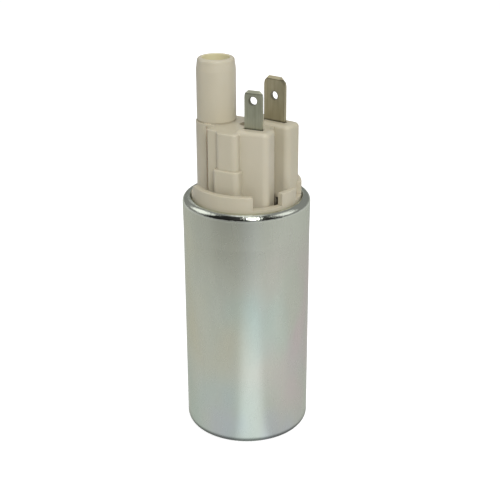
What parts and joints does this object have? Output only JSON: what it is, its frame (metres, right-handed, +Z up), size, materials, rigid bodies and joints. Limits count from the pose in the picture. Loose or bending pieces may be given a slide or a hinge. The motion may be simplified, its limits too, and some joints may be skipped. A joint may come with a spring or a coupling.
{
  "type": "electric fuel pump",
  "caption": "In-tank electric fuel pump: crimped steel case, moulded cap with straight outlet spigot and flat blade terminals, recessed inlet.",
  "frame": {"origin": "centre of the case's bottom face, on the pump axis", "axes": "+Z up along the pump axis towards the outlet; the outlet spigot stands at -X and the blade terminals at +X"},
  "size_m": [0.0382, 0.0382, 0.1159],
  "materials": {
    "zinc_plated_steel": "satin zinc plate with faint iridescence",
    "moulded_cap": "warm beige moulding, satin",
    "rubber": "black nitrile",
    "terminal_wide": "dull tinned brass, brownish",
    "terminal_narrow": "dull tinned brass, grey green",
    "ferrite": "dark sintered ferrite",
    "copper_wire": "enamelled copper",
    "carbon": "pressed carbon",
    "spring_steel": "drawn spring wire",
    "ground_steel": "ground steel",
    "core_steel": "stacked core sheets",
    "inner_plastic": "black moulding",
    "copper_segment": "turned copper",
    "bronze": "sintered bronze",
    "magnet": "ground ferrite magnet",
    "die_cast": "die-cast aluminium",
    "impeller_plastic": "brown phenolic moulding"
  },
  "bodies": {
    "housing": {"case": "zinc_plated_steel", "end_cap": "moulded_cap", "cap_seal": "rubber", "terminal_wide": "terminal_wide", "terminal_narrow": "terminal_narrow", "choke_core_wide": "ferrite", "choke_coil_wide": "copper_wire", "choke_core_narrow": "ferrite", "choke_coil_narrow": "copper_wire", "brush_spring_front": "spring_steel", "brush_spring_rear": "spring_steel", "brush_lead_front": "copper_wire", "brush_lead_rear": "copper_wire", "bush_upper": "bronze", "bush_lower": "bronze", "magnet_front": "magnet", "magnet_rear": "magnet", "magnet_clip_outlet_side": "spring_steel", "magnet_clip_terminal_side": "spring_steel", "pump_housing": "die_cast", "inlet_cover": "die_cast", "thrust_disc": "ground_steel", "check_valve_guide": "inner_plastic", "check_valve_spring": "spring_steel", "relief_plug": "bronze", "relief_spring": "spring_steel"},
    "rotor": {"shaft": "ground_steel", "rotor_core": "core_steel", "insulator_lower": "inner_plastic", "insulator_upper": "inner_plastic", "rotor_windings": "copper_wire", "commutator_hub": "inner_plastic", "commutator_segments": "copper_segment", "impeller": "impeller_plastic"},
    "front_brush": {"brush_front": "carbon"},
    "rear_brush": {"brush_rear": "carbon"},
    "outlet_valve": {"check_valve_poppet": "inner_plastic", "check_valve_seal": "rubber"},
    "relief_valve": {"relief_ball": "ground_steel"}
  },
  "joints": [
    {"name": "rotor_spin", "type": "hinge", "parent": "housing", "child": "rotor", "pos_m": [0, 0, 0.04], "axis": [0, 0, 1], "continuous": true},
    {"name": "front_brush_slide", "type": "slide", "parent": "housing", "child": "front_brush", "axis": [0, 0, 1], "range_m": [0, 0.003], "stiffness_N_per_m": 150, "springref_m": -0.004, "deforming": ["brush_spring_front"]},
    {"name": "rear_brush_slide", "type": "slide", "parent": "housing", "child": "rear_brush", "axis": [0, 0, 1], "range_m": [0, 0.003], "stiffness_N_per_m": 150, "springref_m": -0.004, "deforming": ["brush_spring_rear"]},
    {"name": "outlet_valve_lift", "type": "slide", "parent": "housing", "child": "outlet_valve", "axis": [0, 0, 1], "range_m": [0, 0.0024], "stiffness_N_per_m": 60, "springref_m": -0.003, "deforming": ["check_valve_spring"]},
    {"name": "relief_valve_lift", "type": "slide", "parent": "housing", "child": "relief_valve", "axis": [0, 0, 1], "range_m": [0, 0.0015], "stiffness_N_per_m": 250, "springref_m": -0.004, "deforming": ["relief_spring"]}
  ]
}
